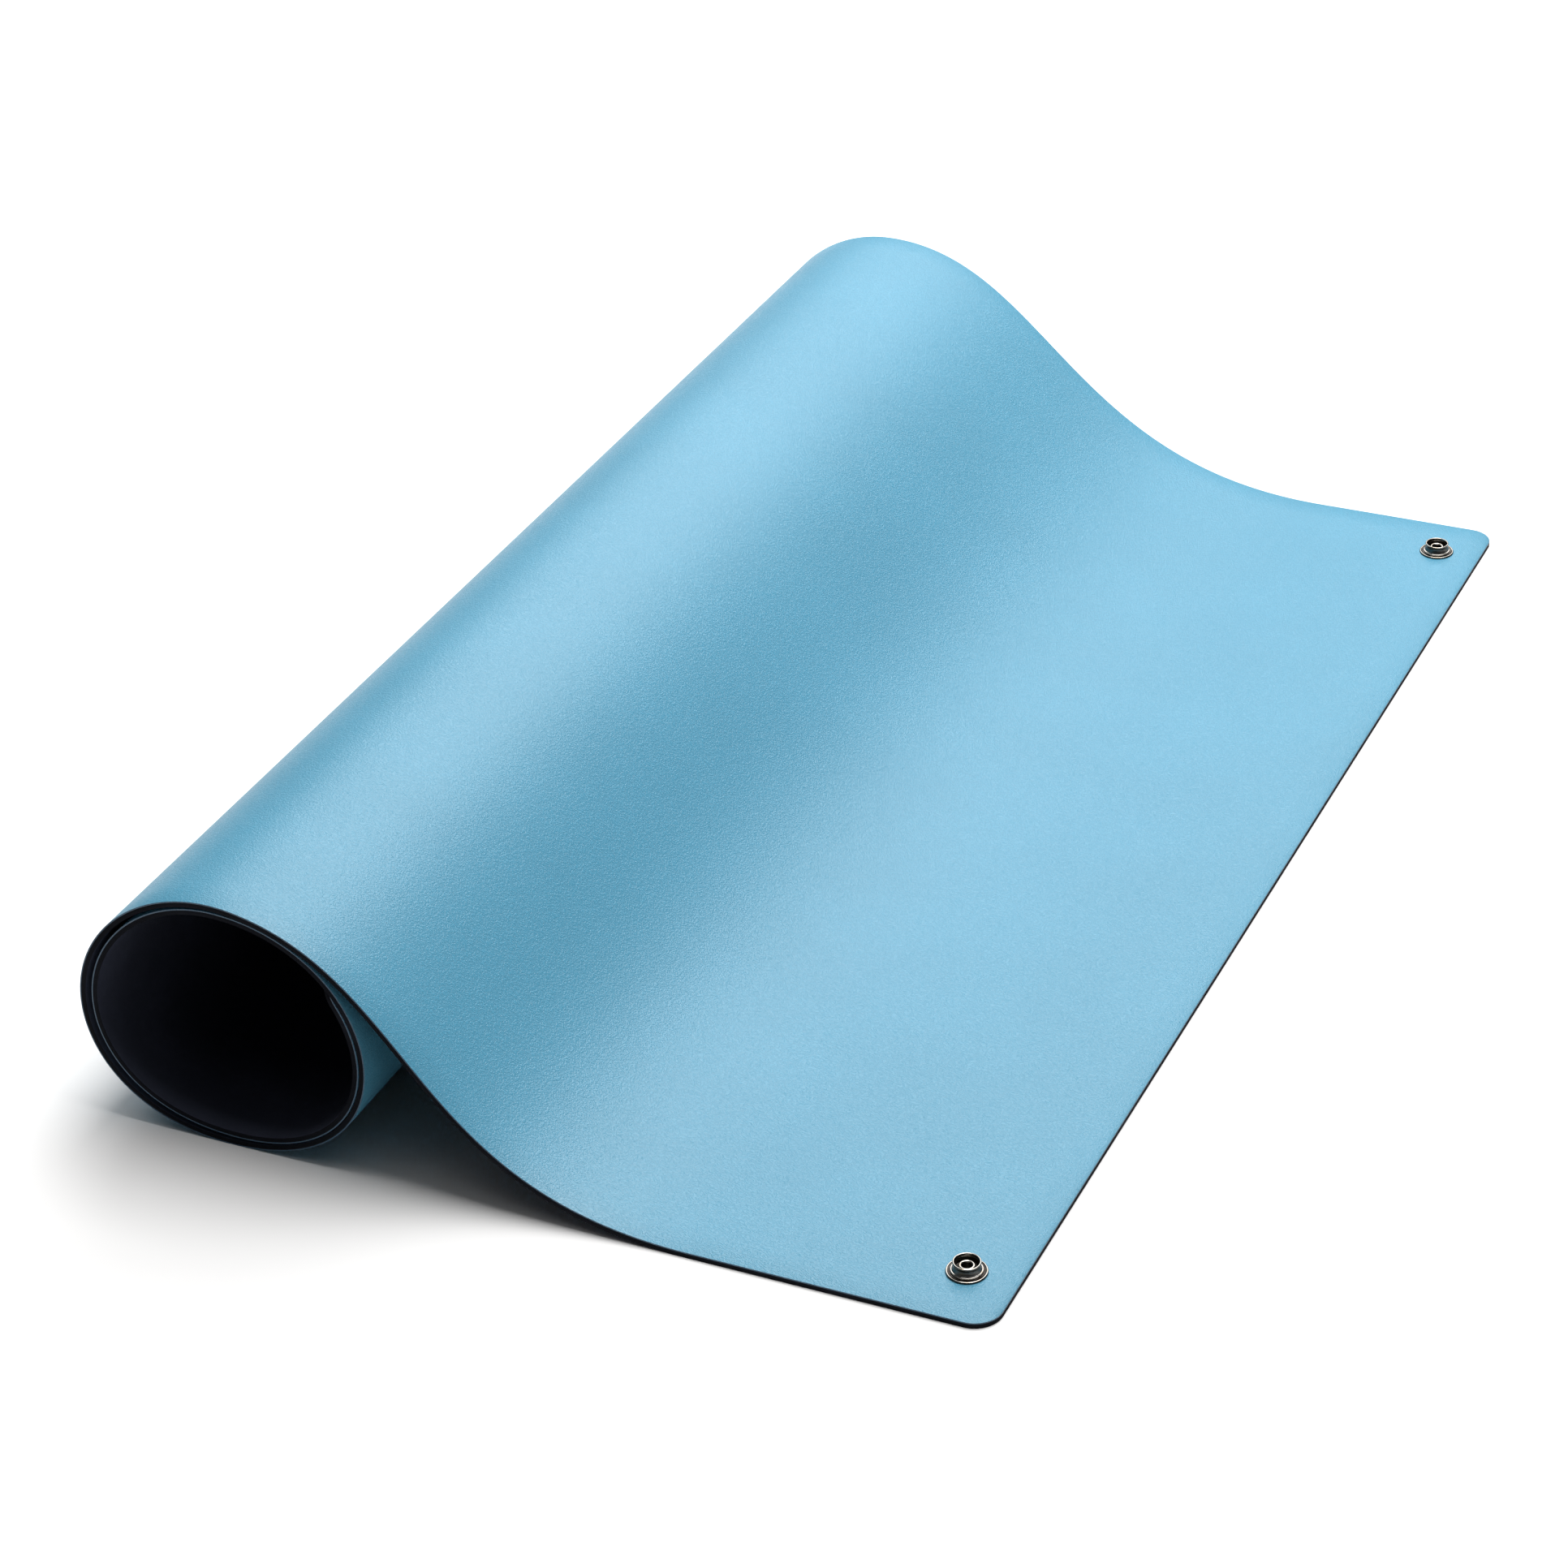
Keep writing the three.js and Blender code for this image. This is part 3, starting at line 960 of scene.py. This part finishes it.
class BENCHMAT_OT_stage(bpy.types.Operator):
    """Set the pale floor, the soft studio light and the camera"""

    bl_idname = "benchmat.stage"
    bl_label = "Stage"

    def execute(self, context):
        stage = settings().stage
        context.scene.view_settings.view_transform = "Standard"
        deselect()
        bpy.ops.mesh.primitive_plane_add(size=FLOOR_SIZE, location=(0.0, 0.0, 0.0))
        floor = new_piece("studio_floor")
        material, _, shader = new_material("pale_floor")
        shader.inputs["Base Color"].default_value = rgba(stage.floor)
        shader.inputs["Roughness"].default_value = 0.9
        shader.inputs["Specular IOR Level"].default_value = 0.1
        floor.data.materials.append(material)
        soft_light(
            "overhead",
            place=(0.31, 0.35, 2.4),
            aim=(0.31, 0.35, 0.0),
            size=(1.76, 1.76),
            power=76.0,
        )
        soft_light(
            "ceiling",
            place=(0.31, 0.03, 2.6),
            aim=(0.31, 0.03, 0.0),
            size=(3.4, 3.4),
            power=17.4,
        )
        soft_light(
            "back_softbox",
            place=(-0.16, 0.97, 0.935),
            aim=(0.0, 0.0, 0.0),
            size=(1.66, 1.17),
            power=20.2,
        )
        light_world(stage)
        aim_camera(stage)
        return {"FINISHED"}


class BENCHMAT_PT_panel(bpy.types.Panel):
    """Sizes and colours, and then the stage and the pieces in the order that they are made"""

    bl_idname = "BENCHMAT_PT_panel"
    bl_label = "Bench Mat"
    bl_space_type = "VIEW_3D"
    bl_region_type = "UI"
    bl_category = "Bench Mat"

    def draw(self, context):
        mat = context.scene.bench_mat
        for group in (mat.sheet, mat.front, mat.back, mat.roll, mat.stud, mat.finish, mat.stage):
            box = self.layout.box()
            for key in group.bl_rna.properties.keys():
                if key not in {"rna_type", "name"}:
                    box.prop(group, key)
        for operator in OPERATORS:
            self.layout.operator(operator.bl_idname)


GROUPS = (
    BENCHMAT_PG_sheet,
    BENCHMAT_PG_lie,
    BENCHMAT_PG_roll,
    BENCHMAT_PG_stud,
    BENCHMAT_PG_finish,
    BENCHMAT_PG_stage,
    BENCHMAT_PG_settings,
)
OPERATORS = (
    BENCHMAT_OT_stage,
    BENCHMAT_OT_layers,
    BENCHMAT_OT_studs,
    BENCHMAT_OT_rivets,
)
CLASSES = (*GROUPS, *OPERATORS, BENCHMAT_PT_panel)


def register():
    for cls in CLASSES:
        bpy.utils.register_class(cls)
    bpy.types.Scene.bench_mat = PointerProperty(type=BENCHMAT_PG_settings)


def unregister():
    del bpy.types.Scene.bench_mat
    for cls in reversed(CLASSES):
        bpy.utils.unregister_class(cls)


def mat_pieces():
    """The pieces of the mat, without the floor and the CAD's own nodes."""
    names = ["blue_top_layer", "black_base_layer"]
    for corner in stud_middles():
        names += [f"{corner}_stud", f"{corner}_rivet"]
    return [bpy.data.objects[name] for name in names]


def main():
    register()
    for key, value in BACK_LIE.items():
        setattr(settings().back, key, value)
    bpy.ops.benchmat.stage()
    bpy.ops.benchmat.layers()
    bpy.ops.benchmat.studs()
    bpy.ops.benchmat.rivets()
    on_base = [piece for piece in mat_pieces() if piece.name != "black_base_layer"]


if __name__ == "__main__":
    main()
